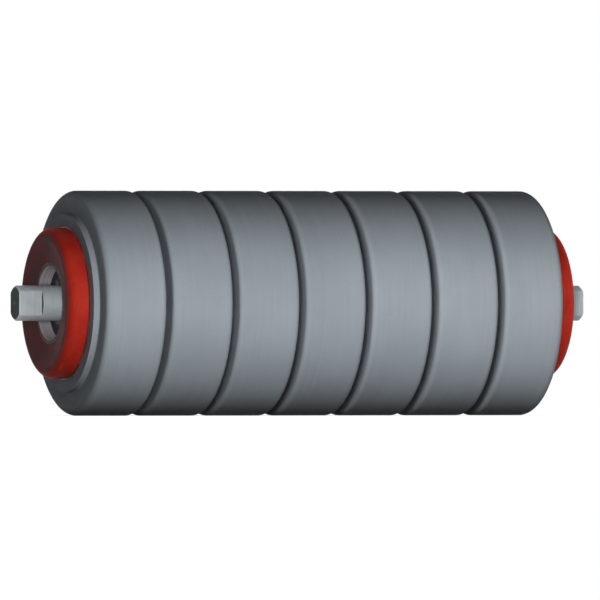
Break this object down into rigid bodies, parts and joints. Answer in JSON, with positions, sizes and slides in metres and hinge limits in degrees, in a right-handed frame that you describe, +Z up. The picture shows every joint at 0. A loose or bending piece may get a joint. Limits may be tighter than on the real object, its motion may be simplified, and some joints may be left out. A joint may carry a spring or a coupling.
{
  "type": "impact conveyor roller",
  "caption": "Conveyor impact roller: spaced rubber rings on a steel tube with red end caps, turning on sealed ball bearings about a fixed flatted shaft.",
  "frame": {"origin": "middle of the roller, on its axis", "axes": "+X along the shaft, +Z up, shaft flats facing -Y and +Y"},
  "size_m": [0.426, 0.159, 0.159],
  "materials": {
    "ring_rubber": "grey moulded rubber, satin",
    "cap_red": "red moulded nylon, satin",
    "shaft_steel": "bright turned steel",
    "tube_steel": "drawn tube, plain",
    "housing_iron": "machined bore, plain casting",
    "bearing_steel": "ground and polished",
    "cage_nylon": "natural nylon",
    "seal_black": "black moulded nylon",
    "circlip_steel": "phosphated spring steel"
  },
  "bodies": {
    "shaft": {"shaft": "shaft_steel", "left_bearing_inner_ring": "bearing_steel", "left_labyrinth_fixed_half": "seal_black", "left_circlip": "circlip_steel", "right_bearing_inner_ring": "bearing_steel", "right_labyrinth_fixed_half": "seal_black", "right_circlip": "circlip_steel"},
    "roller": {"tube": "tube_steel", "impact_ring_1": "ring_rubber", "impact_ring_2": "ring_rubber", "impact_ring_3": "ring_rubber", "impact_ring_4": "ring_rubber", "impact_ring_5": "ring_rubber", "impact_ring_6": "ring_rubber", "impact_ring_7": "ring_rubber", "left_bearing_housing": "housing_iron", "left_end_cap": "cap_red", "left_bearing_outer_ring": "bearing_steel", "left_grease_seal": "seal_black", "left_labyrinth_turning_half": "seal_black", "right_bearing_housing": "housing_iron", "right_end_cap": "cap_red", "right_bearing_outer_ring": "bearing_steel", "right_grease_seal": "seal_black", "right_labyrinth_turning_half": "seal_black"},
    "left_ball_row": {"left_bearing_balls": "bearing_steel", "left_bearing_cage": "cage_nylon"},
    "right_ball_row": {"right_bearing_balls": "bearing_steel", "right_bearing_cage": "cage_nylon"}
  },
  "joints": [
    {"name": "roller_spin", "type": "hinge", "parent": "shaft", "child": "roller", "pos_m": [0, 0, 0], "axis": [1, 0, 0], "continuous": true},
    {"name": "left_ball_row_spin", "type": "hinge", "parent": "shaft", "child": "left_ball_row", "pos_m": [0, 0, 0], "axis": [1, 0, 0], "continuous": true},
    {"name": "right_ball_row_spin", "type": "hinge", "parent": "shaft", "child": "right_ball_row", "pos_m": [0, 0, 0], "axis": [1, 0, 0], "continuous": true}
  ],
  "couplings": [
    {"joint": "left_ball_row_spin", "follows": "roller_spin", "ratio": 0.6031},
    {"joint": "right_ball_row_spin", "follows": "roller_spin", "ratio": 0.6031}
  ]
}
